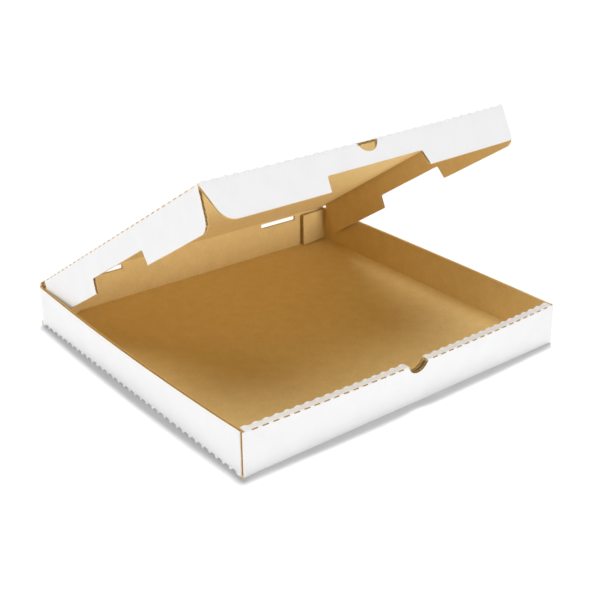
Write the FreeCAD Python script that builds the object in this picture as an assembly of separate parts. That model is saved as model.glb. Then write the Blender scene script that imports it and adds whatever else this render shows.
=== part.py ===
import FreeCAD, Part
import math
import os

# Pizza box of one sheet of corrugated board, with its lid propped part open.
# Millimetres, +Z up, front wall towards -Y. The origin is at the centre of the tray's underside.

# Board
board = 3.0
fold_radius = 2.0
layer_gap = 0.2

# Tray
tray_width = 412.0
tray_depth = 402.0
side_height = 46.5
front_height = 47.0
rear_tab_length = 39.0
front_tab_length = 42.0
tab_drop = 1.0
tab_corner = 2.0
rear_wall_inset = 2.5

# Slots through the rear wall, under the crease that the lid turns on
slot_length = 54.0
slot_height = 6.0
slot_centre = 128.0
slot_top = 46.0

# Thumb notches
thumb_radius = 12.5
thumb_depth = 11.0

# Lid
lid_open_deg = 32.0
lid_length = 384.0
lid_rear_width = 406.0
lid_front_width = 382.5
hinge_height = 48.5
hinge_gap = 0.3
flap_start = 12.0
side_flap_depth = 42.5
front_flap_depth = 39.5
recess_lift = 16.0
recess_half_length = 60.5
recess_step = 3.0
recess_corner = 2.5
side_flap_slopes = (-0.1, 0.08)
front_flap_slopes = (0.26, 0.26)
flap_corner = 12.0
front_flap_flare_deg = 7.0

# Cut and bridge creases
cut_length = 6.35
cut_pitch = 11.3
cut_leg = 2.4
cut_margin = 6.0

# Derived places
half_width = tray_width / 2
half_depth = tray_depth / 2
inner_half_width = half_width - board
rear_inner = half_depth - board
tab_front_face = -half_depth + board + layer_gap
inner_ply_front = tab_front_face + board + layer_gap
front_inner = inner_ply_front + board
hinge_y = half_depth - board / 2
rear_wall_top = hinge_height - board / 2 - hinge_gap
ply_half_width = inner_half_width - 2 * layer_gap

X = FreeCAD.Vector(1, 0, 0)
Y = FreeCAD.Vector(0, 1, 0)
Z = FreeCAD.Vector(0, 0, 1)


def box(x0, x1, y0, y1, z0, z1):
    """A block between two corners."""
    return Part.makeBox(x1 - x0, y1 - y0, z1 - z0, FreeCAD.Vector(x0, y0, z0))


def rounded_face(points, place):
    """A flat face whose corners (a, b, radius) become tangent arcs; place turns (a, b) into a 3-D point."""
    spots = [FreeCAD.Vector(a, b, 0) for a, b, _ in points]
    edges, ends = [], []
    for i, (_, _, radius) in enumerate(points):
        corner = spots[i]
        back = (spots[i - 1] - corner).normalize()
        ahead = (spots[(i + 1) % len(spots)] - corner).normalize()
        if radius == 0:
            ends.append((corner, None, corner))
            continue
        half = back.getAngle(ahead) / 2
        reach = radius / math.tan(half)
        middle = corner + (back + ahead).normalize() * (radius / math.sin(half) - radius)
        ends.append((corner + back * reach, middle, corner + ahead * reach))
    for i, (start, middle, end) in enumerate(ends):
        if middle is not None:
            edges.append(Part.Arc(place(start), place(middle), place(end)).toShape())
        after = ends[(i + 1) % len(ends)][0]
        edges.append(Part.LineSegment(place(end), place(after)).toShape())
    return Part.Face(Part.Wire(edges))


def crease_cuts(start, end, out_a, out_b):
    """Wedges that cut a fold's corner in a row of short lengths, centred between start and end."""
    run = end - start
    along = FreeCAD.Vector(run).normalize()
    count = int((run.Length - 2 * cut_margin - cut_length) // cut_pitch) + 1
    first = (run.Length - (count - 1) * cut_pitch - cut_length) / 2
    wedges = []
    for i in range(count):
        corner = start + along * (first + i * cut_pitch)
        low, high = corner - out_a * cut_leg, corner - out_b * cut_leg
        points = [low + (low - high) * 0.5, high + (high - low) * 0.5, corner + (out_a + out_b) * cut_leg]
        wedge = Part.Face(Part.makePolygon(points + points[:1]))
        wedges.append(wedge.extrude(along * cut_length))
    return wedges


def round_folds(shape, lines):
    """Rounds the straight edges that lie on the given lines, each a point and a direction."""
    picked = []
    for edge in shape.Edges:
        if not isinstance(edge.Curve, Part.Line):
            continue
        a, b = edge.Vertexes[0].Point, edge.Vertexes[-1].Point
        for point, direction in lines:
            if max((a - point).cross(direction).Length, (b - point).cross(direction).Length) < 1e-3:
                picked.append(edge)
    return shape.makeFillet(fold_radius, picked)


def thumb_cutter(crease_height):
    """A cylinder along Y whose lowest point lies thumb_depth under the crease."""
    centre = crease_height - thumb_depth + thumb_radius
    return Part.makeCylinder(thumb_radius, tray_depth, FreeCAD.Vector(0, -tray_depth, centre), Y)


def side_wall(side):
    """One side wall with its front and rear tabs; side is -1 for the left and 1 for the right."""
    inner, outer = inner_half_width, half_width
    wall = box(inner, outer, tab_front_face, rear_inner - layer_gap, 0, side_height)

    def tab(length, top, y):
        low = board + tab_drop
        points = [
            (outer, low, 0),
            (outer, top, 0),
            (inner - length, top, tab_corner),
            (inner - length, low, tab_corner),
        ]
        return rounded_face(points, lambda p: FreeCAD.Vector(p.x, y, p.y)).extrude(Y * board)

    rear_tab = tab(rear_tab_length, side_height - tab_drop, rear_inner - layer_gap - board)
    front_tab = tab(front_tab_length, front_height - board - layer_gap, tab_front_face)
    shape = wall.fuse([rear_tab, front_tab]).removeSplitter()
    shape = round_folds(
        shape,
        [
            (FreeCAD.Vector(outer, tab_front_face, 0), Z),
            (FreeCAD.Vector(outer, rear_inner - layer_gap, 0), Z),
        ],
    )
    return shape if side > 0 else shape.mirror(FreeCAD.Vector(0, 0, 0), X)


def front_wall():
    """The front wall: outer ply, level top and inner ply, rolled over the side walls' front tabs."""
    outer_ply = box(-half_width, half_width, -half_depth, -half_depth + board, 0, front_height)
    top = box(-ply_half_width, ply_half_width, -half_depth, front_inner, front_height - board, front_height)
    inner_ply = box(
        -ply_half_width, ply_half_width, inner_ply_front, front_inner, board + layer_gap, front_height
    )
    wall = outer_ply.fuse([top, inner_ply]).removeSplitter()
    return wall.cut(thumb_cutter(front_height))


def rear_wall():
    """The single rear wall with its two slots."""
    end = half_width - rear_wall_inset
    wall = box(-end, end, rear_inner, half_depth, 0, rear_wall_top)
    for side in (-1, 1):
        middle = side * slot_centre
        wall = wall.cut(
            box(
                middle - slot_length / 2,
                middle + slot_length / 2,
                rear_inner - board,
                half_depth + board,
                slot_top - slot_height,
                slot_top,
            )
        )
    return wall


def tray():
    """Bottom, walls and tabs as one folded sheet, with cut and bridge creases at its sides and front top."""
    bottom = box(-half_width, half_width, -half_depth, half_depth, 0, board)
    shape = bottom.fuse([side_wall(-1), side_wall(1), front_wall(), rear_wall()]).removeSplitter()
    shape = round_folds(
        shape, [(FreeCAD.Vector(0, -half_depth, 0), X), (FreeCAD.Vector(0, half_depth, 0), X)]
    )
    cuts = []
    for side in (-1, 1):
        x = side * half_width
        front, rear = FreeCAD.Vector(x, tab_front_face, 0), FreeCAD.Vector(x, rear_inner, 0)
        cuts += crease_cuts(front, rear, X * side, -Z)
        near, far = side * thumb_radius, side * ply_half_width
        for y, out in ((-half_depth, -Y), (front_inner, Y)):
            cuts += crease_cuts(
                FreeCAD.Vector(near, y, front_height), FreeCAD.Vector(far, y, front_height), out, Z
            )
    return shape.cut(cuts)


def flap_outline(ends, slopes, middle, depth):
    """Corner points of a hanging flap: ends that come in by a slope, ears and a shallower recess between."""
    start, end = ends
    lip = recess_half_length + recess_step
    recess = depth - recess_lift
    drop = depth - board
    return [
        (start, 0, 0),
        (end, 0, 0),
        (end, board, 0),
        (end - slopes[1] * drop, depth, flap_corner),
        (middle + lip, depth, 0),
        (middle + recess_half_length, recess, recess_corner),
        (middle - recess_half_length, recess, recess_corner),
        (middle - lip, depth, 0),
        (start + slopes[0] * drop, depth, flap_corner),
        (start, board, 0),
    ]


def lid_level():
    """The lid lying level with its hinge line at the origin, reaching towards -Y."""
    rear, front = lid_rear_width / 2, lid_front_width / 2
    top = board / 2
    corners = [
        FreeCAD.Vector(-rear, 0, -top),
        FreeCAD.Vector(rear, 0, -top),
        FreeCAD.Vector(front, -lid_length, -top),
        FreeCAD.Vector(-front, -lid_length, -top),
    ]
    panel = Part.Face(Part.makePolygon(corners + corners[:1])).extrude(Z * board)
    hinge_roll = Part.makeCylinder(top, lid_rear_width, FreeCAD.Vector(-rear, 0, 0), X)

    narrowing = (rear - front) / lid_length
    crease_run = FreeCAD.Vector(-narrowing, -1, 0).normalize()
    crease_out = FreeCAD.Vector(1, -narrowing, 0).normalize()
    crease_root = FreeCAD.Vector(rear, 0, top)
    side_crease = lid_length / -crease_run.y
    ends = (flap_start, side_crease - board - layer_gap)
    outline = flap_outline(ends, side_flap_slopes, lid_length / 2, side_flap_depth)

    def on_side(p):
        return crease_root + crease_run * p.x - Z * p.y

    right_flap = rounded_face(outline, on_side).extrude(-crease_out * board)
    left_flap = right_flap.mirror(FreeCAD.Vector(0, 0, 0), X)

    flare = math.radians(front_flap_flare_deg)
    down = FreeCAD.Vector(0, -math.sin(flare), -math.cos(flare))
    inward = FreeCAD.Vector(0, math.cos(flare), -math.sin(flare))
    front_root = FreeCAD.Vector(0, -lid_length, top)
    outline = flap_outline((-front, front), front_flap_slopes, 0, front_flap_depth)
    front_flap = rounded_face(outline, lambda p: front_root + X * p.x + down * p.y).extrude(inward * board)
    front_flap = front_flap.cut(thumb_cutter(top).translated(Y * -lid_length / 2))

    shape = panel.fuse([hinge_roll, right_flap, left_flap, front_flap]).removeSplitter()
    mirrored = lambda v: FreeCAD.Vector(-v.x, v.y, v.z)
    side_start = on_side(FreeCAD.Vector(flap_start, 0, 0))
    side_end = on_side(FreeCAD.Vector(side_crease, 0, 0))
    cuts = crease_cuts(side_start, side_end, crease_out, Z)
    cuts += crease_cuts(mirrored(side_start), mirrored(side_end), mirrored(crease_out), Z)
    cuts += crease_cuts(front_root - X * front, front_root - X * thumb_radius, -inward, Z)
    cuts += crease_cuts(front_root + X * thumb_radius, front_root + X * front, -inward, Z)
    return shape.cut(cuts)


def lid():
    """The lid turned open on its crease at the top of the rear wall."""
    shape = lid_level()
    shape.rotate(FreeCAD.Vector(0, 0, 0), X, -lid_open_deg)
    shape.translate(FreeCAD.Vector(0, hinge_y, hinge_height))
    return shape


os.makedirs("parts", exist_ok=True)
for name, make in (("tray", tray), ("lid", lid)):
    solid = make()
    print(name, "solids", len(solid.Solids), "valid", solid.isValid(), "volume", round(solid.Volume))
    solid.exportStep("parts/" + name + ".step")
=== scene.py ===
import logging
import math
from collections.abc import Callable
from dataclasses import dataclass, field
from enum import Enum

import bmesh
import bpy
import numpy as np
from mathutils import Matrix, Vector
from mathutils.geometry import delaunay_2d_cdt


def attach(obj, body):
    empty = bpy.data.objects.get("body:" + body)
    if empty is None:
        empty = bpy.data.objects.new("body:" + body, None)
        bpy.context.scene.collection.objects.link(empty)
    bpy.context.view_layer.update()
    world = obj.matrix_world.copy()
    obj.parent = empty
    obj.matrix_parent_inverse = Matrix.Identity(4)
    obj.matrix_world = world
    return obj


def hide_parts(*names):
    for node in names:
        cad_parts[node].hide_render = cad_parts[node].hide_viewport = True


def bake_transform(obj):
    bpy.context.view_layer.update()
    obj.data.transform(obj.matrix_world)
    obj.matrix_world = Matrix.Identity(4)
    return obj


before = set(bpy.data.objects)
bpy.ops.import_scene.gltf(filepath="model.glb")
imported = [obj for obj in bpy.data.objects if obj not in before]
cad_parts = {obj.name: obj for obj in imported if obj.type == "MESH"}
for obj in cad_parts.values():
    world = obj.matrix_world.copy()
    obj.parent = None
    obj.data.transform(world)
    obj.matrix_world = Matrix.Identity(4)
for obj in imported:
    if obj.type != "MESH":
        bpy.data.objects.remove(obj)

# The looks of a pizza box: one sheet of lined corrugated board, folded into a tray and a lid.
# Sizes are in millimetres, and become metres as a mesh is written.
# Flat places (a, b) are those of the unfolded sheet: flutes run along b, and a crosses them.

MILLIMETRE = 0.001
MERGE_DISTANCE = 1e-4
SHARP_DEG = 35.0
BLACK = (0.0, 0.0, 0.0)
WHITE = (1.0, 1.0, 1.0, 1.0)

X = Vector((1.0, 0.0, 0.0))
Y = Vector((0.0, 1.0, 0.0))
Z = Vector((0.0, 0.0, 1.0))

Flat = tuple[float, float]
Corner = tuple[float, float, float]
Colour = tuple[float, float, float]
Area = tuple[list[Flat], np.ndarray]
Depth = Callable[[float], float]
Settle = Callable[[Vector], Vector]
Socket = bpy.types.NodeSocket


class Surface(Enum):
    """The surfaces that a sheet of lined corrugated board shows."""

    OUTSIDE = 0
    INSIDE = 1
    RAW = 2


class CreaseKind(Enum):
    """How a fold line is made: pressed only, or cut through in short lengths."""

    PRESSED = "pressed"
    CUT_AND_BRIDGE = "cut and bridge"
    CUT_AND_FOLDED_IN = "cut and bridge, with the liner folded into the cuts"


@dataclass(frozen=True)
class Board:
    """The sheet's make-up: two liners with a fluted medium that bites a little into both."""

    thickness: float = 3.0
    liner: float = 0.3
    medium: float = 0.26
    medium_bite: float = 0.03
    flute_pitch: float = 6.4
    stations_per_flute: int = 8
    grid: float = 16.0
    bridge_steps: int = 6
    fold_radius: float = 2.0
    cut_length: float = 6.35
    cut_pitch: float = 11.3
    cut_margin: float = 6.0

    def wave(self, a: float) -> float:
        """Depth of the fluted medium's middle at a place across the flutes."""
        swing = (self.thickness - 2 * self.liner - self.medium) / 2 + self.medium_bite
        return self.thickness / 2 + swing * math.cos(2 * math.pi * a / self.flute_pitch)

    def bridges(self, length: float, open_share: float) -> list[tuple[float, float]]:
        """Lengths that are not open along a cut and bridge crease.

        Args:
            length: the crease's whole length.
            open_share: how much of each cut stands open once the board is folded.

        Returns:
            The start and end of each uncut length.
        """
        count = int((length - 2 * self.cut_margin - self.cut_length) // self.cut_pitch) + 1
        opened = self.cut_length * open_share
        first = (length - (count - 1) * self.cut_pitch - opened) / 2
        spans = []
        start = 0.0
        for i in range(count):
            cut = first + i * self.cut_pitch
            spans.append((start, cut))
            start = cut + opened
        spans.append((start, length))
        return spans


def rounded(corners: list[Corner], steps: int = 6) -> list[Flat]:
    """Turns corners (a, b, radius) into a closed outline with tangent arcs.

    Args:
        corners: the corners in order; a radius of 0 keeps a corner sharp.
        steps: straight pieces in each arc.

    Returns:
        The outline's points in the same order.
    """
    spots = [Vector((a, b)) for a, b, _ in corners]
    outline: list[Flat] = []
    for i, (a, b, radius) in enumerate(corners):
        if radius == 0:
            outline.append((a, b))
            continue
        corner = spots[i]
        back = (spots[i - 1] - corner).normalized()
        ahead = (spots[(i + 1) % len(spots)] - corner).normalized()
        half = back.angle(ahead) / 2
        centre = corner + (back + ahead).normalized() * (radius / math.sin(half))
        start = corner + back * (radius / math.tan(half)) - centre
        end = corner + ahead * (radius / math.tan(half)) - centre
        for k in range(steps + 1):
            share = k / steps
            turn = start.lerp(end, share).normalized() * radius
            outline.append(tuple(centre + turn))
    return outline


def arc(centre: Flat, radius: float, first_deg: float, last_deg: float, steps: int = 16) -> list[Flat]:
    """Points along a circle's arc.

    Args:
        centre: the circle's centre.
        radius: its radius.
        first_deg: where the arc starts, in degrees from the a axis.
        last_deg: where it ends.
        steps: straight pieces in the arc.

    Returns:
        The arc's points, both ends among them.
    """
    points = []
    for k in range(steps + 1):
        turn = math.radians(first_deg + (last_deg - first_deg) * k / steps)
        points.append((centre[0] + radius * math.cos(turn), centre[1] + radius * math.sin(turn)))
    return points


def fill(outlines: list[list[Flat]], a_lines: list[float], b_lines: list[float]) -> Area:
    """Triangulates a flat area, with edges along the given straight lines.

    Args:
        outlines: the outer outline and the outlines of its holes.
        a_lines: places across the flutes where an edge runs along them.
        b_lines: places along the flutes where an edge runs across them.

    Returns:
        The area's points, and its triangles as rows of three point numbers.
    """
    spots: list[Flat] = []
    edges: list[tuple[int, int]] = []
    for outline in outlines:
        base = len(spots)
        spots += outline
        edges += [(base + i, base + (i + 1) % len(outline)) for i in range(len(outline))]
    outer = np.array(outlines[0])
    low, high = outer.min(0), outer.max(0)
    past = 1.0
    lines = [((a, low[1] - past), (a, high[1] + past)) for a in a_lines if low[0] < a < high[0]]
    lines += [((low[0] - past, b), (high[0] + past, b)) for b in b_lines if low[1] < b < high[1]]
    for line in lines:
        edges.append((len(spots), len(spots) + 1))
        spots += line
    points, _, faces, _, _, _ = delaunay_2d_cdt([Vector(s) for s in spots], edges, [], 0, MERGE_DISTANCE)
    places = np.array([tuple(p) for p in points])
    triangles = np.array(faces)
    middles = places[triangles].mean(axis=1)
    inside = np.zeros(len(middles), bool)
    for outline in outlines:
        for i, (a1, b1) in enumerate(outline):
            a0, b0 = outline[i - 1]
            if b0 == b1:
                continue
            spans = (b0 > middles[:, 1]) != (b1 > middles[:, 1])
            crossing = a0 + (middles[:, 1] - b0) * (a1 - a0) / (b1 - b0)
            inside ^= spans & (middles[:, 0] < crossing)
    kept = triangles[inside]
    used, renumbered = np.unique(kept, return_inverse=True)
    return [tuple(places[i]) for i in used], renumbered.reshape(kept.shape)


@dataclass(frozen=True)
class Panel:
    """A flat piece of board between folds, with its place in the unfolded sheet and in the box."""

    outline: list[Flat]
    anchor: Flat
    origin: Vector
    across: Vector
    along: Vector
    holes: list[list[Flat]] = field(default_factory=list)

    def place(self, spot: Flat, depth: float) -> Vector:
        """Where a flat place lies in the box, at a depth under the white face.

        Args:
            spot: a place in the unfolded sheet.
            depth: how far it lies under the white face.

        Returns:
            Where it lies in the box.
        """
        inward = self.across.cross(self.along)
        run = self.across * (spot[0] - self.anchor[0]) + self.along * (spot[1] - self.anchor[1])
        return self.origin + run + inward * depth


@dataclass(frozen=True)
class Crease:
    """A right-angled fold between two panels, told by the line of its outer corner.

    In a cut and bridge crease each cut is a groove, whose section is told as distances under the
    first and the second outer face, and each bridge between the cuts swells by bulge out of them.
    """

    start: Vector
    end: Vector
    out_first: Vector
    out_second: Vector
    flat_start: Flat
    flat_end: Flat
    kind: CreaseKind = CreaseKind.PRESSED
    groove: tuple[Flat, ...] = ()
    bulge: Flat = (0.0, 0.0)
    open_share: float = 1.0


class SheetMesh:
    """Gathers the faces of one piece of the sheet and turns them into a Blender object."""

    def __init__(self, board: Board, settle: Settle) -> None:
        """Starts an empty piece.

        Args:
            board: the board's make-up.
            settle: moves a point from its folded place to where the used box holds it.
        """
        self.board = board
        self.settle = settle
        self.points: list[Vector] = []
        self.flats: list[Flat] = []
        self.faces: list[tuple[int, ...]] = []
        self.surfaces: list[Surface] = []

    def add_point(self, point: Vector, flat: Flat) -> int:
        """Adds a point with its flat place and gives its number.

        Args:
            point: where it is in the square folded box.
            flat: where it is in the unfolded sheet.

        Returns:
            The point's number.
        """
        self.points.append(self.settle(point))
        self.flats.append(flat)
        return len(self.points) - 1

    def add_face(self, corners: tuple[int, ...], surface: Surface) -> None:
        """Adds a face on one of the board's surfaces."""
        self.faces.append(corners)
        self.surfaces.append(surface)

    def add_layer(
        self,
        panel: Panel,
        area: Area,
        depths: tuple[Depth, Depth],
        surfaces: tuple[Surface, Surface],
    ) -> None:
        """Adds one closed layer of a panel: a liner or the medium.

        Args:
            panel: the panel it belongs to.
            area: its flat points and triangles.
            depths: depth of its outer and of its inner side, by place across the flutes.
            surfaces: the surface that each side shows.
        """
        spots, triangles = area
        numbers = []
        for depth in depths:
            numbers.append([self.add_point(panel.place(s, depth(s[0])), s) for s in spots])
        sides: dict[tuple[int, int], bool] = {}
        for i, j, k in triangles.tolist():
            self.add_face((numbers[0][k], numbers[0][j], numbers[0][i]), surfaces[0])
            self.add_face((numbers[1][i], numbers[1][j], numbers[1][k]), surfaces[1])
            for side in ((i, j), (j, k), (k, i)):
                if (side[1], side[0]) in sides:
                    del sides[(side[1], side[0])]
                else:
                    sides[side] = True
        for i, j in sides:
            self.add_face((numbers[0][i], numbers[0][j], numbers[1][j], numbers[1][i]), Surface.RAW)

    def add_panel(self, panel: Panel) -> None:
        """Adds a panel's two liners and its fluted medium.

        Args:
            panel: the panel.
        """
        board = self.board
        outlines = [panel.outline] + panel.holes
        corners = np.array(panel.outline)
        low, high = corners.min(0), corners.max(0)

        def lines(axis: int, step: float) -> list[float]:
            """Places at whole steps inside the panel's reach.

            Args:
                axis: 0 for places across the flutes, 1 for places along them.
                step: the step.

            Returns:
                The places, in order.
            """
            first = math.floor(low[axis] / step) + 1
            last = math.ceil(high[axis] / step)
            return [i * step for i in range(first, last)]

        liner = fill(outlines, lines(0, board.grid), lines(1, board.grid))
        sheet = board.thickness
        self.add_layer(
            panel, liner, (lambda a: 0.0, lambda a: board.liner), (Surface.OUTSIDE, Surface.RAW)
        )
        self.add_layer(
            panel, liner, (lambda a: sheet - board.liner, lambda a: sheet), (Surface.RAW, Surface.INSIDE)
        )
        station = board.flute_pitch / board.stations_per_flute
        medium = fill(outlines, lines(0, station), lines(1, board.grid))
        half = board.medium / 2
        self.add_layer(
            panel,
            medium,
            (lambda a: board.wave(a) - half, lambda a: board.wave(a) + half),
            (Surface.RAW, Surface.RAW),
        )

    def add_prism(
        self,
        crease: Crease,
        profile: list[Corner],
        span: tuple[float, float],
        shown: set[int],
        ends: Surface = Surface.RAW,
    ) -> None:
        """Adds a closed bar along a crease.

        Args:
            crease: the fold that it runs along.
            profile: its cross-section, as distances under the first and the second outer face and
                the share of the crease's bulge that each point takes half-way along the bar.
            span: where it starts and ends along the crease.
            shown: sides of the profile that show the white liner.
            ends: what its two ends show.
        """
        run = crease.end - crease.start
        along = run.normalized()
        flat_start = Vector(crease.flat_start)
        flat_along = (Vector(crease.flat_end) - flat_start).normalized()
        flat_aside = Vector((-flat_along.y, flat_along.x))
        swelling = crease.bulge != (0.0, 0.0) and any(share for _, _, share in profile)
        count = self.board.bridge_steps if swelling else 1
        count = max(count, math.ceil((span[1] - span[0]) / self.board.grid))
        rings = []
        for k in range(count + 1):
            reach = span[0] + (span[1] - span[0]) * k / count
            rise = math.sqrt(max(0.0, math.sin(math.pi * k / count)))
            ring = []
            for p, q, share in profile:
                under = crease.out_first * (p - crease.bulge[0] * share * rise)
                under += crease.out_second * (q - crease.bulge[1] * share * rise)
                flat = flat_start + flat_along * reach + flat_aside * (q - p)
                ring.append(self.add_point(crease.start + along * reach - under, tuple(flat)))
            rings.append(ring)
        sides = len(profile)
        for near, far in zip(rings, rings[1:]):
            for i in range(sides):
                j = (i + 1) % sides
                surface = Surface.OUTSIDE if i in shown else Surface.RAW
                self.add_face((near[i], near[j], far[j], far[i]), surface)
        for ring in (rings[0], rings[-1]):
            self.add_face(tuple(ring), ends)

    def add_crease(self, crease: Crease, steps: int = 5) -> None:
        """Adds the board that goes round a fold, whole or only where it was left uncut.

        Args:
            crease: the fold.
            steps: straight pieces in the fold's round.
        """
        board = self.board
        length = (crease.end - crease.start).length
        spans = [(0.0, length)]
        if crease.kind is not CreaseKind.PRESSED:
            spans = board.bridges(length, crease.open_share)
        sheet, liner = board.thickness, board.liner
        turns = [math.pi / 2 * k / steps for k in range(steps + 1)]

        def round_face(radius: float) -> list[Corner]:
            """The fold's round at a radius about its own centre, from the first face to the second.

            Args:
                radius: the round's radius.

            Returns:
                Profile points, as add_prism takes them.
            """
            middle = board.fold_radius
            return [
                (middle - radius * math.cos(turn), middle - radius * math.sin(turn), math.sin(2 * turn))
                for turn in turns
            ]

        outer = [(0.0, sheet, 0.0)] + round_face(board.fold_radius) + [(sheet, 0.0, 0.0)]
        inner = [(liner, sheet, 0.0)] + round_face(board.fold_radius - liner) + [(sheet, liner, 0.0)]
        band = outer + inner[::-1]
        core = inner + [(sheet, sheet, 0.0)]
        ends = Surface.OUTSIDE if crease.kind is CreaseKind.CUT_AND_FOLDED_IN else Surface.RAW
        for span in spans:
            self.add_prism(crease, band, span, set(range(len(outer) - 1)), ends)
            self.add_prism(crease, core, span, set(), ends)
        corners = [(0.0, sheet), *crease.groove, (sheet, 0.0), (sheet, sheet)]
        opened = [(p, q, 0.0) for p, q in corners]
        shown = {0, len(crease.groove)}
        if crease.kind is CreaseKind.CUT_AND_FOLDED_IN:
            shown = set(range(len(crease.groove) + 1))
        for (_, cut_start), (cut_end, _) in zip(spans, spans[1:]):
            self.add_prism(crease, opened, (cut_start, cut_end), shown)

    def finish(self, name: str, finishes: list[bpy.types.Material]) -> bpy.types.Object:
        """Writes the mesh.

        Args:
            name: the piece's name.
            finishes: the materials, in the order of Surface.

        Returns:
            The piece, in metres and in the box's own frame.
        """
        mesh = bpy.data.meshes.new(name)
        mesh.from_pydata([p * MILLIMETRE for p in self.points], [], self.faces)
        mesh.polygons.foreach_set("material_index", [s.value for s in self.surfaces])
        flat_layer = mesh.uv_layers.new(name="flat_sheet")
        corner_points = np.zeros(len(mesh.loops), dtype=np.int32)
        mesh.loops.foreach_get("vertex_index", corner_points)
        flats = np.array(self.flats, dtype=np.float32)[corner_points] * MILLIMETRE
        flat_layer.data.foreach_set("uv", flats.ravel())
        for finish in finishes:
            mesh.materials.append(finish)
        shells = bmesh.new()
        shells.from_mesh(mesh)
        bmesh.ops.recalc_face_normals(shells, faces=shells.faces)
        shells.to_mesh(mesh)
        shells.free()
        mesh.shade_smooth()
        mesh.set_sharp_from_angle(angle=math.radians(SHARP_DEG))
        piece = bpy.data.objects.new(name, mesh)
        bpy.context.scene.collection.objects.link(piece)
        return piece


@dataclass(frozen=True)
class Grain:
    """A noise: its scale, its detail and its stretch across the flutes."""

    scale: float
    detail: float
    across: float = 1.0


@dataclass(frozen=True)
class Relief:
    """A bump: its strength, and its height in metres."""

    strength: float
    height: float


@dataclass(frozen=True)
class Flecks:
    """Darker marks where a noise is high: from where to where they grow, and the most they cover."""

    grain: Grain
    reach: Flat
    most: float


class NodeMaterial:
    """A material being put together from nodes, in coordinates of the unfolded sheet.

    The MIX numbers are those of a Mix node's colour sockets, and WAVE_RATE is how many radians a
    Wave node of scale 1 turns in one unit.
    """

    MIX_SHARE = 0
    MIX_FIRST = 6
    MIX_SECOND = 7
    MIX_RESULT = 2
    WAVE_RATE = 20.0

    def __init__(self, name: str) -> None:
        """Starts a material with its shader.

        Args:
            name: the material's name.
        """
        self.material = bpy.data.materials.new(name)
        self.material.use_nodes = True
        self.tree = self.material.node_tree
        self.shader = self.tree.nodes["Principled BSDF"]

    def add(self, kind: str, **inputs: float | tuple) -> bpy.types.Node:
        """Adds a node.

        Args:
            kind: the node's type.
            inputs: values for its inputs, with _ for a space in an input's name.

        Returns:
            The node.
        """
        node = self.tree.nodes.new(kind)
        for name, value in inputs.items():
            node.inputs[name.replace("_", " ")].default_value = value
        return node

    def link(self, source: Socket, target: Socket) -> None:
        """Joins an output to an input."""
        self.tree.links.new(source, target)

    def flat_place(self, across: float = 1.0) -> Socket:
        """Gives coordinates in the unfolded sheet.

        Args:
            across: factor that they are stretched by across the flutes.

        Returns:
            The coordinates, in metres.
        """
        coordinates = self.add("ShaderNodeTexCoord")
        mapping = self.add("ShaderNodeMapping", Scale=(across, 1.0, 1.0))
        self.link(coordinates.outputs["UV"], mapping.inputs["Vector"])
        return mapping.outputs["Vector"]

    def body_place(self) -> Socket:
        """Coordinates in the box, in metres."""
        coordinates = self.add("ShaderNodeTexCoord")
        return coordinates.outputs["Object"]

    def noise(self, grain: Grain, place: Socket) -> Socket:
        """Adds a noise.

        Args:
            grain: its scale and detail.
            place: the coordinates that it follows.

        Returns:
            Its value, from 0 to 1.
        """
        node = self.add("ShaderNodeTexNoise", Scale=grain.scale, Detail=grain.detail)
        self.link(place, node.inputs["Vector"])
        return node.outputs["Fac"]

    def flat_noise(self, grain: Grain) -> Socket:
        """A noise's value over the unfolded sheet, from 0 to 1."""
        return self.noise(grain, self.flat_place(grain.across))

    def flutes(self, pitch: float) -> Socket:
        """Adds straight waves over the flutes.

        Args:
            pitch: the flutes' pitch.

        Returns:
            The waves' value, from 0 to 1.
        """
        scale = 2 * math.pi / self.WAVE_RATE / (pitch * MILLIMETRE)
        node = self.add("ShaderNodeTexWave", Scale=scale)
        node.wave_type = "BANDS"
        node.bands_direction = "X"
        self.link(self.flat_place(), node.inputs["Vector"])
        return node.outputs["Fac"]

    def ramp(self, value: Socket, reach: Flat, first: Colour, last: Colour) -> Socket:
        """Turns a value into a colour between two.

        Args:
            value: the value.
            reach: the values that give the first and the last colour alone.
            first: the colour for low values.
            last: the colour for high values.

        Returns:
            The colour.
        """
        node = self.add("ShaderNodeValToRGB")
        self.link(value, node.inputs["Fac"])
        elements = node.color_ramp.elements
        for i, colour in enumerate((first, last)):
            elements[i].position = reach[i]
            elements[i].color = (*colour, 1.0)
        return node.outputs["Color"]

    def mix(self, share: Socket, first: Socket, second: Colour) -> Socket:
        """Blends two colours.

        Args:
            share: how much of the second colour there is.
            first: the first colour.
            second: the second colour.

        Returns:
            The blended colour.
        """
        node = self.add("ShaderNodeMix")
        node.data_type = "RGBA"
        self.link(share, node.inputs[self.MIX_SHARE])
        self.link(first, node.inputs[self.MIX_FIRST])
        node.inputs[self.MIX_SECOND].default_value = (*second, 1.0)
        return node.outputs[self.MIX_RESULT]

    def bump(self, height: Socket, relief: Relief, under: Socket | None = None) -> Socket:
        """Adds a bump.

        Args:
            height: how high it is at each place, from 0 to 1.
            relief: its strength and height.
            under: the bump that it is laid over.

        Returns:
            The bumped normal.
        """
        node = self.add("ShaderNodeBump", Strength=relief.strength, Distance=relief.height)
        self.link(height, node.inputs["Height"])
        if under is not None:
            self.link(under, node.inputs["Normal"])
        return node.outputs["Normal"]

    def surface(self, colour: Socket, roughness: float, gloss: float, normal: Socket) -> bpy.types.Material:
        """Sets the shader.

        Args:
            colour: the surface's colour.
            roughness: its roughness.
            gloss: its specular level.
            normal: its bumped normal.

        Returns:
            The finished material.
        """
        self.link(colour, self.shader.inputs["Base Color"])
        self.shader.inputs["Roughness"].default_value = roughness
        self.shader.inputs["Specular IOR Level"].default_value = gloss
        self.link(normal, self.shader.inputs["Normal"])
        return self.material


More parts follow.
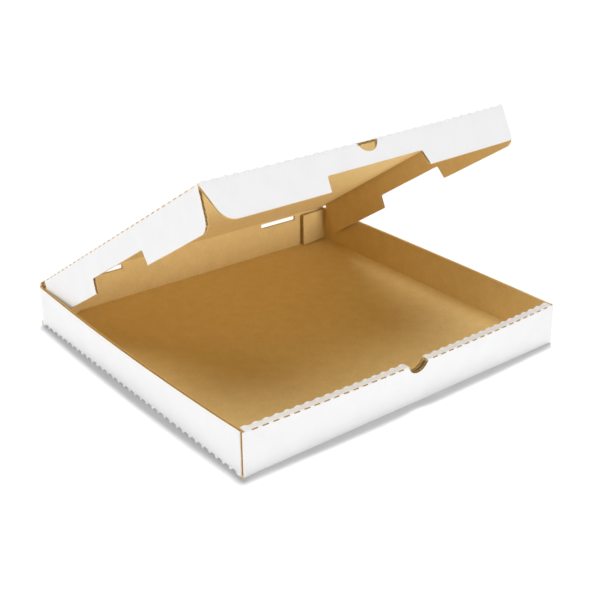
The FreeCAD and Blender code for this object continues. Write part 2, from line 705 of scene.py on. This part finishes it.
@dataclass(frozen=True)
class CoatedLiner:
    """The box's white outside: smooth coated paper that shows the flutes faintly."""

    bright: Colour = (0.8, 0.8, 0.802)
    dull: Colour = (0.78, 0.779, 0.779)
    cloud: Grain = Grain(45.0, 4.0)
    cloud_reach: Flat = (0.3, 0.7)
    fibre: Grain = Grain(1400.0, 2.0, 0.35)
    roughness: float = 0.5
    gloss: float = 0.35
    washboard: Relief = Relief(0.25, 0.00006)
    fibre_relief: Relief = Relief(0.2, 0.00004)

    def material(self, board: Board) -> bpy.types.Material:
        """Builds the white liner's material.

        Args:
            board: the board, for the pitch of its flutes.

        Returns:
            The material.
        """
        made = NodeMaterial("coated_white_liner")
        colour = made.ramp(made.flat_noise(self.cloud), self.cloud_reach, self.dull, self.bright)
        washboard = made.bump(made.flutes(board.flute_pitch), self.washboard)
        normal = made.bump(made.flat_noise(self.fibre), self.fibre_relief, washboard)
        return made.surface(colour, self.roughness, self.gloss, normal)


@dataclass(frozen=True)
class KraftLiner:
    """The box's inside: plain brown kraft paper with its fibres."""

    light: Colour = (0.79, 0.585, 0.258)
    middle: Colour = (0.73, 0.53, 0.224)
    dark: Colour = (0.56, 0.37, 0.145)
    cloud: Grain = Grain(70.0, 5.0)
    cloud_reach: Flat = (0.3, 0.75)
    streaks: Flecks = Flecks(Grain(900.0, 3.0, 0.25), (0.48, 0.72), 0.35)
    specks: Flecks = Flecks(Grain(2300.0, 2.0, 0.5), (0.62, 0.74), 0.5)
    roughness: float = 0.75
    gloss: float = 0.25
    washboard: Relief = Relief(0.35, 0.00008)
    streak_relief: Relief = Relief(0.4, 0.00006)

    def material(self, board: Board) -> bpy.types.Material:
        """Builds the kraft liner's material.

        Args:
            board: the board, for the pitch of its flutes.

        Returns:
            The material.
        """
        made = NodeMaterial("kraft_liner")
        colour = made.ramp(made.flat_noise(self.cloud), self.cloud_reach, self.middle, self.light)
        noises = []
        for flecks in (self.streaks, self.specks):
            noises.append(made.flat_noise(flecks.grain))
            share = made.ramp(noises[-1], flecks.reach, BLACK, (flecks.most,) * 3)
            colour = made.mix(share, colour, self.dark)
        washboard = made.bump(made.flutes(board.flute_pitch), self.washboard)
        normal = made.bump(noises[0], self.streak_relief, washboard)
        return made.surface(colour, self.roughness, self.gloss, normal)


@dataclass(frozen=True)
class RawBoard:
    """Cut edges and the fluted medium: rough golden brown paper."""

    light: Colour = (0.84, 0.63, 0.31)
    dark: Colour = (0.64, 0.44, 0.19)
    fibre: Grain = Grain(1100.0, 3.0)
    fibre_reach: Flat = (0.3, 0.65)
    roughness: float = 0.9
    gloss: float = 0.1
    relief: Relief = Relief(0.5, 0.0001)

    def material(self) -> bpy.types.Material:
        """Builds the raw edge's material.

        Returns:
            The material.
        """
        made = NodeMaterial("raw_board_edge")
        fibre = made.noise(self.fibre, made.body_place())
        colour = made.ramp(fibre, self.fibre_reach, self.dark, self.light)
        return made.surface(colour, self.roughness, self.gloss, made.bump(fibre, self.relief))


@dataclass
class Tray:
    """Bottom, four walls and four corner tabs, folded from the sheet.

    The front wall's bow moves what lies within front_zone of its face, and slack is how far past a
    fold a point may lie and still be told as on it.
    """

    width: float = 412.0
    depth: float = 402.0
    side_height: float = 46.5
    front_height: float = 47.0
    rear_height: float = 46.7
    rear_tab: float = 39.0
    front_tab: float = 42.0
    tab_foot: float = 4.0
    rear_tab_top: float = 45.5
    front_tab_top: float = 43.8
    tab_corner: float = 2.0
    rear_wall_inset: float = 2.5
    layer_gap: float = 0.2
    slot_length: float = 54.0
    slot_bottom: float = 40.0
    slot_top: float = 46.0
    slot_centre: float = 128.0
    thumb_radius: float = 12.5
    thumb_depth: float = 11.0
    side_bow: tuple[float, float] = (5.0, 2.0)
    front_bow: float = 5.0
    tab_spring_deg: float = 6.0
    front_zone: float = 12.0
    slack: float = 0.5
    bottom_groove: tuple[Flat, ...] = ((0.0, 2.7), (2.4, 2.7), (2.4, 0.0))
    bottom_bulge: Flat = (0.0, 1.6)
    roll_grooves: tuple[tuple[Flat, ...], ...] = (
        ((0.0, 1.0), (1.8, 1.8), (1.0, 0.0)),
        ((0.0, 1.2), (1.3, 1.3), (1.3, 0.0)),
    )
    roll_bulges: tuple[Flat, ...] = ((0.2, 0.4), (0.4, 1.1))
    roll_shares: Flat = (1.0, 0.68)
    board: Board = field(default_factory=Board)

    def settle(self, point: Vector) -> Vector:
        """Bows the free tops of the walls outward and springs the rear tabs off the rear wall.

        Args:
            point: a point of the tray with its walls square.

        Returns:
            Where the used box holds it.
        """
        sheet = self.board.thickness
        half_width, half_depth = self.width / 2, self.depth / 2
        rise = max(0.0, point.z - sheet) / (self.front_height - sheet)
        from_fold = half_width - sheet - abs(point.x)
        gap = self.layer_gap / 2
        on_tab = self.wall_half() - sheet - gap < point.y < half_depth - sheet - gap
        moved = Vector(point)
        if point.y < -half_depth + self.front_zone:
            moved.y -= self.front_bow * rise * (1 - (point.x / half_width) ** 2)
        elif on_tab and from_fold > 0 and point.z > sheet + self.slack:
            moved.y -= from_fold * math.tan(math.radians(self.tab_spring_deg))
        elif from_fold < self.slack:
            reach = (half_depth - sheet) ** 2
            bow = self.side_bow[0] if point.x < 0 else self.side_bow[1]
            push = bow * rise * max(0.0, 1 - point.y**2 / reach)
            moved.x += math.copysign(push, point.x)
        return moved

    def wall_half(self) -> float:
        """Half the length of a side wall between its tabs' folds."""
        return self.depth / 2 - self.board.thickness - self.layer_gap

    def roll_half(self) -> float:
        """Half the length of the roll-over's top and inner ply."""
        return self.width / 2 - self.board.thickness - 2 * self.layer_gap

    def bottom(self) -> Panel:
        """The bottom between its four folds.

        Returns:
            The panel.
        """
        a, b = self.width / 2 - self.board.thickness, self.depth / 2 - self.board.thickness
        outline = [(-a, -b), (a, -b), (a, b), (-a, b)]
        return Panel(outline, (0.0, 0.0), Vector((0.0, 0.0, 0.0)), X, Y)

    def side_wall(self, side: int) -> Panel:
        """A side wall.

        Args:
            side: -1 for the left and 1 for the right.

        Returns:
            The panel.
        """
        sheet = self.board.thickness
        end = self.wall_half()
        fold = end - sheet
        crease = self.width / 2
        steps = [
            (sheet, -end),
            (self.tab_foot, -end),
            (self.tab_foot, -fold),
            (self.front_tab_top, -fold),
            (self.front_tab_top, -end),
            (self.side_height, -end),
            (self.side_height, end),
            (self.rear_tab_top, end),
            (self.rear_tab_top, fold),
            (self.tab_foot, fold),
            (self.tab_foot, end),
            (sheet, end),
        ]
        outline = [(side * (crease + height), b) for height, b in steps]
        return Panel(outline, (side * crease, 0.0), Vector((side * crease, 0.0, 0.0)), Z * side, Y)

    def tab(self, side: int, rear: bool) -> Panel:
        """A corner tab, turned in from the end of a side wall.

        Args:
            side: -1 for the left and 1 for the right.
            rear: whether it is at the wall's rear end.

        Returns:
            The panel.
        """
        sheet = self.board.thickness
        crease = self.width / 2
        end = self.wall_half()
        length = (self.rear_tab if rear else self.front_tab) + sheet
        top = self.rear_tab_top if rear else self.front_tab_top
        way = 1 if rear else -1
        outline = rounded(
            [
                (side * (crease + self.tab_foot), way * (end + sheet), 0),
                (side * (crease + top), way * (end + sheet), 0),
                (side * (crease + top), way * (end + length), self.tab_corner),
                (side * (crease + self.tab_foot), way * (end + length), self.tab_corner),
            ]
        )
        origin = Vector((side * crease, way * end, 0.0))
        return Panel(outline, (side * crease, way * end), origin, Z * side, -X * side * way)

    def thumb_arc(self, crease_height: float, level: float) -> list[Flat]:
        """The thumb notch's arc.

        Args:
            crease_height: height of the crease that the notch is cut from.
            level: height of the arc's two ends.

        Returns:
            The arc's points as (x, height), from left to right.
        """
        middle = crease_height - self.thumb_depth + self.thumb_radius
        low = math.degrees(math.asin((middle - level) / self.thumb_radius))
        return arc((0.0, middle), self.thumb_radius, 180 + low, 360 - low)

    def front_ply(self) -> Panel:
        """The front wall's outer ply, up to the roll-over's first fold.

        Returns:
            The panel.
        """
        sheet = self.board.thickness
        half, inner = self.width / 2, self.roll_half()
        level = self.front_height - sheet
        heights = [(-half, sheet), (half, sheet), (half, self.front_height), (inner, self.front_height)]
        heights += [(inner, level)] + self.thumb_arc(self.front_height, level)[::-1]
        heights += [(-inner, level), (-inner, self.front_height), (-half, self.front_height)]
        crease = -self.depth / 2
        outline = [(a, crease - height) for a, height in heights]
        return Panel(outline, (0.0, crease), Vector((0.0, crease, 0.0)), X, -Z)

    def roll_top(self, side: int) -> Panel:
        """The narrow level top of the roll-over, on one side of the thumb notch.

        Args:
            side: -1 for the left and 1 for the right.

        Returns:
            The panel.
        """
        sheet = self.board.thickness
        crease = -self.depth / 2 - self.front_height
        across = self.roll_width()
        near, far = side * self.thumb_radius, side * self.roll_half()
        outline = [(near, crease - sheet), (far, crease - sheet)]
        outline += [(far, crease - across + sheet), (near, crease - across + sheet)]
        origin = Vector((0.0, -self.depth / 2, self.front_height))
        return Panel(outline, (0.0, crease), origin, X, -Y)

    def roll_width(self) -> float:
        """Thickness of the whole front wall: two plies, the tabs between them and the gaps."""
        return 3 * self.board.thickness + 2 * self.layer_gap

    def inner_ply(self) -> Panel:
        """The front wall's inner ply, hanging from the roll-over to the bottom.

        Returns:
            The panel.
        """
        sheet = self.board.thickness
        inner = self.roll_half()
        level = self.front_height - sheet
        drop = self.front_height - sheet - self.layer_gap
        crease = -self.depth / 2 - self.front_height - self.roll_width()
        depths = [(-inner, drop), (inner, drop), (inner, sheet)]
        depths += [(a, self.front_height - z) for a, z in self.thumb_arc(self.front_height, level)[::-1]]
        depths += [(-inner, sheet)]
        outline = [(a, crease - down) for a, down in depths]
        origin = Vector((0.0, -self.depth / 2 + self.roll_width(), self.front_height))
        return Panel(outline, (0.0, crease), origin, X, Z)

    def rear_wall(self) -> Panel:
        """The rear wall with its two slots.

        Returns:
            The panel.
        """
        sheet = self.board.thickness
        half, crease = self.width / 2 - self.rear_wall_inset, self.depth / 2
        low, high = crease + sheet, crease + self.rear_height
        outline = [(-half, low), (half, low), (half, high), (-half, high)]
        holes = []
        for side in (-1, 1):
            left = side * self.slot_centre - self.slot_length / 2
            right = left + self.slot_length
            bottom, top = crease + self.slot_bottom, crease + self.slot_top
            holes.append([(left, bottom), (right, bottom), (right, top), (left, top)])
        return Panel(outline, (0.0, crease), Vector((0.0, crease, 0.0)), X, Z, holes)

    def creases(self) -> list[Crease]:
        """Every fold of the tray apart from the lid's.

        Returns:
            The folds.
        """
        sheet = self.board.thickness
        half_width, half_depth = self.width / 2, self.depth / 2
        end = self.wall_half()
        cut = CreaseKind.CUT_AND_BRIDGE
        folds = []
        for way in (-1, 1):
            y = way * half_depth
            start, stop = Vector((-half_width, y, 0.0)), Vector((half_width, y, 0.0))
            folds.append(Crease(start, stop, -Z, Y * way, (-half_width, y), (half_width, y)))
        for side in (-1, 1):
            x = side * half_width
            start, stop = Vector((x, -end, 0.0)), Vector((x, half_depth - sheet, 0.0))
            flats = (x, -end), (x, half_depth - sheet)
            opened = CreaseKind.CUT_AND_FOLDED_IN, self.bottom_groove, self.bottom_bulge
            folds.append(Crease(start, stop, -Z, X * side, *flats, *opened))
            for way, top in ((-1, self.front_tab_top), (1, self.rear_tab_top)):
                low, high = Vector((x, way * end, self.tab_foot)), Vector((x, way * end, top))
                flat_low = (side * (half_width + self.tab_foot), way * end)
                flat_high = (side * (half_width + top), way * end)
                folds.append(Crease(low, high, X * side, Y * way, flat_low, flat_high))
            roll = self.roll_width()
            places = ((-half_depth, -Y, 0.0), (-half_depth + roll, Y, roll))
            near, far = side * self.thumb_radius, side * self.roll_half()
            looks = zip(self.roll_grooves, self.roll_bulges, self.roll_shares)
            for (y, out, past), look in zip(places, looks):
                flat_y = -half_depth - self.front_height - past
                start = Vector((near, y, self.front_height))
                stop = Vector((far, y, self.front_height))
                flats = (near, flat_y), (far, flat_y)
                folds.append(Crease(start, stop, out, Z, *flats, cut, *look))
        return folds

    def build(self, finishes: list[bpy.types.Material]) -> bpy.types.Object:
        """Builds the tray's part of the sheet.

        Args:
            finishes: the materials, in the order of Surface.

        Returns:
            The piece, riding on the tray and standing for its solid.
        """
        mesh = SheetMesh(self.board, self.settle)
        mesh.add_panel(self.bottom())
        mesh.add_panel(self.front_ply())
        mesh.add_panel(self.inner_ply())
        mesh.add_panel(self.rear_wall())
        for side in (-1, 1):
            mesh.add_panel(self.side_wall(side))
            mesh.add_panel(self.roll_top(side))
            for rear in (False, True):
                mesh.add_panel(self.tab(side, rear))
        for crease in self.creases():
            mesh.add_crease(crease)
        piece = mesh.finish("tray_sheet", finishes)
        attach(piece, "tray")
        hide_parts("tray")
        return piece


@dataclass
class Lid:
    """The lid panel with its front flap and two side flaps, turned open on the rear crease."""

    open_deg: float = 32.0
    length: float = 384.0
    rear_width: float = 406.0
    front_width: float = 382.5
    hinge_y: float = 199.5
    hinge_height: float = 48.5
    sheet_start: float = 249.5
    root: float = 1.5
    flap_start: float = 12.0
    side_flap: float = 42.5
    side_slopes: tuple[float, float] = (-0.1, 0.08)
    side_corners: tuple[float, float] = (12.0, 12.0)
    side_flare_deg: float = 5.0
    front_flap: float = 39.5
    front_slopes: tuple[float, float] = (0.3, 0.22)
    front_corners: tuple[float, float] = (18.0, 6.0)
    front_flare_deg: float = 7.0
    twist: float = 5.0
    recess_lift: float = 16.0
    recess_half_length: float = 60.5
    recess_step: float = 3.0
    recess_corner: float = 2.5
    layer_gap: float = 0.2
    thumb_radius: float = 12.5
    thumb_depth: float = 11.0
    tongue_gap: float = 0.5
    side_groove: tuple[Flat, ...] = ((0.0, 1.6), (2.5, 2.5), (1.6, 0.0))
    side_bulge: Flat = (0.5, 0.5)
    front_groove: tuple[Flat, ...] = ((0.0, 0.1), (0.1, 0.1), (0.1, 0.0))
    front_bulge: Flat = (1.6, 1.6)
    board: Board = field(default_factory=Board)

    def settle(self, point: Vector) -> Vector:
        """Flares the flaps of the level lid, whose hinge is at the origin, twists it and turns it open.

        Args:
            point: a point of the level lid with its flaps square.

        Returns:
            The point's place in the open lid. The side flaps flare more towards the front, and the
            front right corner stands higher than the left one.
        """
        hanging = max(0.0, -point.z - self.board.thickness / 2)
        loose = Vector(point)
        rightward = 0.5 + point.x / self.rear_width
        loose.z += self.twist * rightward**2 * max(0.0, -point.y) / self.length
        if point.y < self.board.thickness + self.layer_gap / 2 - self.length:
            loose.y -= hanging * math.tan(math.radians(self.front_flare_deg))
        else:
            flare = math.tan(math.radians(self.side_flare_deg)) * -point.y / self.length
            loose.x += math.copysign(hanging * flare, point.x)
        turned = Matrix.Rotation(math.radians(-self.open_deg), 3, "X") @ loose
        return turned + Vector((0.0, self.hinge_y, self.hinge_height))

    def narrowing(self) -> float:
        """How far each side crease comes in for each millimetre towards the front."""
        return (self.rear_width - self.front_width) / 2 / self.length

    def slant(self) -> float:
        """Length of a side crease for each millimetre towards the front."""
        return math.hypot(1.0, self.narrowing())

    def side_run(self, side: int) -> Vector:
        """Direction of a side crease, towards the front."""
        return Vector((-side * self.narrowing(), -1.0, 0.0)) / self.slant()

    def side_length(self) -> float:
        """Length of a side crease from the hinge to the front corner."""
        return math.hypot(self.length, (self.rear_width - self.front_width) / 2)

    def flat_side(self, side: int, run: float, out: float) -> Flat:
        """Flat place of a point beside a side crease.

        Args:
            side: -1 for the left and 1 for the right.
            run: how far along the crease it is from the hinge.
            out: how far out from the crease it is.

        Returns:
            The flat place.
        """
        narrow, size = self.narrowing(), self.slant()
        a = side * (self.rear_width / 2 + (-narrow * run + out) / size)
        b = self.sheet_start + (run + narrow * out) / size
        return (a, b)

    def panel(self) -> Panel:
        """The lid panel, short of its folds, with a tongue behind the thumb notch.

        Returns:
            The panel.
        """
        sheet = self.board.thickness
        front = self.sheet_start + self.length
        tongue = self.thumb_radius - self.tongue_gap
        right = [(self.rear_width / 2 - self.narrowing() * self.root, self.sheet_start + self.root)]
        right += [self.flat_side(1, self.flap_start, 0.0), self.flat_side(1, self.flap_start, -sheet)]
        corner = self.front_width / 2 + self.narrowing() * sheet - sheet * self.slant()
        right += [(corner, front - sheet), (tongue, front - sheet), (tongue, front)]
        left = [(-a, b) for a, b in right[::-1]]
        origin = Vector((0.0, 0.0, sheet / 2))
        return Panel(right + left, (0.0, self.sheet_start), origin, X, -Y)

    def flap_corners(
        self, ends: Flat, slopes: Flat, middle: float, depth: float, corners: Flat
    ) -> list[Corner]:
        """Corners of a flap as (run along its crease, depth under it, radius).

        Args:
            ends: where it starts and ends along the crease.
            slopes: how far each end comes in for each millimetre down.
            middle: the middle of its recess.
            depth: its whole depth.
            corners: radius of the lower corner at each end.

        Returns:
            The corners, from the crease's start round to it again.
        """
        sheet = self.board.thickness
        lip = self.recess_half_length + self.recess_step
        recess = depth - self.recess_lift
        drop = depth - sheet
        return [
            (ends[1], sheet, 0),
            (ends[1] - slopes[1] * drop, depth, corners[1]),
            (middle + lip, depth, 0),
            (middle + self.recess_half_length, recess, self.recess_corner),
            (middle - self.recess_half_length, recess, self.recess_corner),
            (middle - lip, depth, 0),
            (ends[0] + slopes[0] * drop, depth, corners[0]),
            (ends[0], sheet, 0),
        ]

    def side_flap_panel(self, side: int) -> Panel:
        """A side flap, hanging square from its crease.

        Args:
            side: -1 for the left and 1 for the right.

        Returns:
            The panel.
        """
        ends = (self.flap_start, self.side_length() - self.board.thickness - self.layer_gap)
        corners = self.flap_corners(
            ends, self.side_slopes, self.length / 2, self.side_flap, self.side_corners
        )
        outline = [self.flat_side(side, run, out) for run, out in rounded(corners)]
        narrow, size = self.narrowing(), self.slant()
        run_3d = self.side_run(side)
        across = run_3d * (-side * narrow / size) - Z * (side / size)
        along = run_3d / size - Z * (narrow / size)
        origin = Vector((side * self.rear_width / 2, 0.0, self.board.thickness / 2))
        return Panel(outline, (side * self.rear_width / 2, self.sheet_start), origin, across, along)

    def front_flap_panel(self) -> Panel:
        """The front flap with its thumb notch.

        Returns:
            The panel.
        """
        sheet = self.board.thickness
        half = self.front_width / 2
        crease = self.sheet_start + self.length
        corners = self.flap_corners(
            (-half, half), self.front_slopes, 0.0, self.front_flap, self.front_corners
        )
        middle = self.thumb_depth - self.thumb_radius
        low = math.degrees(math.asin((sheet - middle) / self.thumb_radius))
        notch = arc((0.0, middle), self.thumb_radius, 180 - low, low)
        outline = rounded(corners) + notch
        outline = [(a, crease + down) for a, down in outline]
        origin = Vector((0.0, -self.length, sheet / 2))
        return Panel(outline, (0.0, crease), origin, X, -Z)

    def creases(self) -> list[Crease]:
        """The folds between the lid panel and its flaps.

        Returns:
            The folds.
        """
        top = self.board.thickness / 2
        half, front = self.front_width / 2, self.sheet_start + self.length
        cut = CreaseKind.CUT_AND_BRIDGE
        folds = []
        for side in (-1, 1):
            run_3d = self.side_run(side)
            out = Vector((side, -self.narrowing(), 0.0)) / self.slant()
            root = Vector((side * self.rear_width / 2, 0.0, top))
            end = self.side_length() - self.board.thickness
            start, stop = root + run_3d * self.flap_start, root + run_3d * end
            flats = self.flat_side(side, self.flap_start, 0.0), self.flat_side(side, end, 0.0)
            folds.append(Crease(start, stop, Z, out, *flats, cut, self.side_groove, self.side_bulge))
            near = side * self.thumb_radius
            start, stop = Vector((near, -self.length, top)), Vector((side * half, -self.length, top))
            flats = (near, front), (side * half, front)
            folds.append(Crease(start, stop, Z, -Y, *flats, cut, self.front_groove, self.front_bulge))
        return folds

    def build(self, finishes: list[bpy.types.Material]) -> bpy.types.Object:
        """Builds the lid's part of the sheet.

        Args:
            finishes: the materials, in the order of Surface.

        Returns:
            The piece, riding on the lid and standing for its solid.
        """
        mesh = SheetMesh(self.board, self.settle)
        mesh.add_panel(self.panel())
        mesh.add_panel(self.front_flap_panel())
        for side in (-1, 1):
            mesh.add_panel(self.side_flap_panel(side))
        for crease in self.creases():
            mesh.add_crease(crease)
        piece = mesh.finish("lid_sheet", finishes)
        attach(piece, "lid")
        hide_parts("lid")
        return piece


@dataclass
class RearCrease:
    """The pressed crease that joins the lid to the rear wall, bent to the lid's open angle."""

    tray: Tray
    lid: Lid
    bend_steps: int = 8

    def stations(self) -> list[tuple[Vector, Vector, float]]:
        """The crease's section, from the rear wall's top to the lid's root.

        Returns:
            Rows of an outer point, an inner point and how far they are along the sheet.
        """
        half = self.tray.board.thickness / 2
        pivot = Vector((self.lid.hinge_y, self.lid.hinge_height))
        wall_top = self.tray.rear_height
        tilt = math.radians(self.lid.open_deg)
        ahead = Vector((-math.cos(tilt), math.sin(tilt)))
        lid_up = Vector((math.sin(tilt), math.cos(tilt)))
        under = pivot - lid_up * half
        inner_corner = under + ahead * ((pivot.x - half - under.x) / ahead.x)
        rows = [(Vector((pivot.x + half, wall_top)), Vector((pivot.x - half, wall_top)), 0.0)]
        turn = math.pi / 2 - tilt
        for k in range(self.bend_steps + 1):
            angle = turn * k / self.bend_steps
            outer = pivot + Vector((math.cos(angle), math.sin(angle))) * half
            rows.append((outer, inner_corner, half * (1 + k / self.bend_steps)))
        root = pivot + ahead * self.lid.root
        rows.append((root + lid_up * half, root - lid_up * half, 2 * half + self.lid.root))
        return rows

    def build(self, finishes: list[bpy.types.Material]) -> bpy.types.Object:
        """Builds the strip of board at the crease.

        Args:
            finishes: the materials, in the order of Surface.

        Returns:
            The piece, bending between the tray and the lid.
        """
        mesh = SheetMesh(self.tray.board, lambda point: point)
        rows = self.stations()
        half = self.lid.rear_width / 2
        count = math.ceil(2 * half / self.tray.board.grid)
        crease = self.lid.sheet_start - self.tray.board.thickness
        rings = []
        for k in range(count + 1):
            x = -half + 2 * half * k / count
            outer = [mesh.add_point(Vector((x, o.x, o.y)), (x, crease + s)) for o, _, s in rows]
            corner = [rows[0], rows[1], rows[-1]]
            inner = [mesh.add_point(Vector((x, i.x, i.y)), (x, crease + s)) for _, i, s in corner]
            rings.append((outer, inner))
        for (outer_a, inner_a), (outer_b, inner_b) in zip(rings, rings[1:]):
            for i in range(len(outer_a) - 1):
                mesh.add_face((outer_a[i], outer_a[i + 1], outer_b[i + 1], outer_b[i]), Surface.OUTSIDE)
            for i in range(len(inner_a) - 1):
                mesh.add_face((inner_a[i], inner_a[i + 1], inner_b[i + 1], inner_b[i]), Surface.INSIDE)
            for i in (0, -1):
                mesh.add_face((outer_a[i], inner_a[i], inner_b[i], outer_b[i]), Surface.RAW)
        for outer, inner in (rings[0], rings[-1]):
            mesh.add_face(tuple(outer + inner[::-1]), Surface.RAW)
        piece = mesh.finish("lid_crease", finishes)
        root = self.lid.settle(Vector((0.0, -self.lid.root, 0.0))) * MILLIMETRE
        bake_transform(piece)
        return piece


class Lit(Enum):
    """What a light falls on."""

    ALL = "all"
    BOX = "box"
    TRAY = "tray"
    LID = "lid"
    FLOOR = "floor"


@dataclass(frozen=True)
class Lamp:
    """A large far light: the direction that it shines from, its strength and its spread."""

    name: str
    direction: tuple[float, float, float]
    strength: float
    spread_deg: float
    lit: Lit = Lit.ALL
    shading: Lit = Lit.ALL

    def build(self, groups: dict[Lit, bpy.types.Collection]) -> None:
        """Adds the light.

        Args:
            groups: what a light can be kept to, both in what it falls on and in what shades it.
        """
        data = bpy.data.lights.new(self.name, "SUN")
        data.energy = self.strength
        data.angle = math.radians(self.spread_deg)
        lamp = bpy.data.objects.new(self.name, data)
        lamp.location = self.direction
        lamp.rotation_euler = Vector(self.direction).to_track_quat("Z", "Y").to_euler()
        bpy.context.scene.collection.objects.link(lamp)
        if self.lit in groups:
            lamp.light_linking.receiver_collection = groups[self.lit]
        if self.shading in groups:
            lamp.light_linking.blocker_collection = groups[self.shading]


@dataclass(frozen=True)
class Studio:
    """A plain pale floor, a white surround and soft lights."""

    floor_size: float = 30.0
    floor_colour: Colour = (0.7, 0.7, 0.705)
    floor_roughness: float = 0.9
    floor_glow: float = 0.175
    surround: float = 0.08
    lights: tuple[Lamp, ...] = (
        Lamp("overhead_floor", (0.5, 0.52, 3.2), 3.8, 14.0, Lit.FLOOR, Lit.TRAY),
        Lamp("overhead_box", (-0.1, 0.6, 3.2), 2.9, 70.0, Lit.BOX),
        Lamp("front", (0.15, -3.0, 0.34), 1.58, 12.0),
        Lamp("left", (-2.5, 0.8, 0.17), 1.37, 45.0, Lit.BOX, Lit.BOX),
        Lamp("under_lid", (0.0, -0.5, -2.0), 0.5, 10.0, Lit.LID, Lit.LID),
    )

    def floor(self) -> bpy.types.Object:
        """Adds the floor, with a faint glow that brings it up to the photograph's white.

        Returns:
            The floor.
        """
        half = self.floor_size / 2
        corners = [(-half, -half, 0.0), (half, -half, 0.0), (half, half, 0.0), (-half, half, 0.0)]
        mesh = bpy.data.meshes.new("floor")
        mesh.from_pydata(corners, [], [(0, 1, 2, 3)])
        made = NodeMaterial("pale_floor")
        looks = {
            "Base Color": (*self.floor_colour, 1.0),
            "Roughness": self.floor_roughness,
            "Specular IOR Level": 0.0,
            "Emission Color": WHITE,
            "Emission Strength": self.floor_glow,
        }
        for name, value in looks.items():
            made.shader.inputs[name].default_value = value
        mesh.materials.append(made.material)
        floor = bpy.data.objects.new("floor", mesh)
        bpy.context.scene.collection.objects.link(floor)
        return floor

    def build(self, pieces: list[bpy.types.Object]) -> None:
        """Adds the floor, the surround and the lights.

        Args:
            pieces: the pieces of the box, the tray's first.
        """
        floor = self.floor()
        world = bpy.data.worlds.new("surround")
        world.use_nodes = True
        background = world.node_tree.nodes["Background"]
        background.inputs["Color"].default_value = WHITE
        background.inputs["Strength"].default_value = self.surround
        bpy.context.scene.world = world
        members = {Lit.BOX: pieces, Lit.TRAY: pieces[:1], Lit.LID: pieces[1:], Lit.FLOOR: [floor]}
        groups = {}
        for lit, things in members.items():
            groups[lit] = bpy.data.collections.new("light_on_" + lit.value)
            for thing in things:
                groups[lit].objects.link(thing)
        for light in self.lights:
            light.build(groups)
        bpy.context.scene.view_settings.view_transform = "Standard"
        bpy.context.scene.view_settings.look = "None"


@dataclass(frozen=True)
class Camera:
    """The camera, by its turn round the box, its place across and along its view, and its lens."""

    azimuth_deg: float = -39.949
    elevation_deg: float = 21.302
    roll_deg: float = 0.258
    aside: float = 62.821
    raised: float = 117.836
    distance: float = 1242.245
    lens: float = 66.286
    sensor: float = 36.0
    shift: tuple[float, float] = (-0.08, -0.12)

    def build(self) -> None:
        """Adds the camera and makes it the scene's own."""
        azimuth, elevation = math.radians(self.azimuth_deg), math.radians(self.elevation_deg)
        roll = math.radians(self.roll_deg)
        back = Vector(
            (
                math.sin(azimuth) * math.cos(elevation),
                -math.cos(azimuth) * math.cos(elevation),
                math.sin(elevation),
            )
        )
        level_right = Vector((math.cos(azimuth), math.sin(azimuth), 0.0))
        level_up = back.cross(level_right)
        right = level_right * math.cos(roll) + level_up * math.sin(roll)
        up = level_up * math.cos(roll) - level_right * math.sin(roll)
        place = (right * self.aside + up * self.raised + back * self.distance) * MILLIMETRE
        data = bpy.data.cameras.new("camera")
        data.lens = self.lens
        data.sensor_width = self.sensor
        data.shift_x, data.shift_y = self.shift
        camera = bpy.data.objects.new("camera", data)
        turn = Matrix((right, up, back)).transposed().to_4x4()
        camera.matrix_world = Matrix.Translation(place) @ turn
        bpy.context.scene.collection.objects.link(camera)
        bpy.context.scene.camera = camera


def main() -> None:
    """Builds the box, its surroundings and the camera."""
    logging.basicConfig(level=logging.INFO, format="%(message)s")
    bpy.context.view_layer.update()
    board = Board()
    finishes = [CoatedLiner().material(board), KraftLiner().material(board), RawBoard().material()]
    tray, lid = Tray(board=board), Lid(board=board)
    pieces = []
    for maker in (tray, lid, RearCrease(tray, lid)):
        piece = maker.build(finishes)
        pieces.append(piece)
        logging.info("%s: %d faces", piece.name, len(piece.data.polygons))
    Studio().build(pieces)
    Camera().build()


if __name__ == "__main__":
    main()
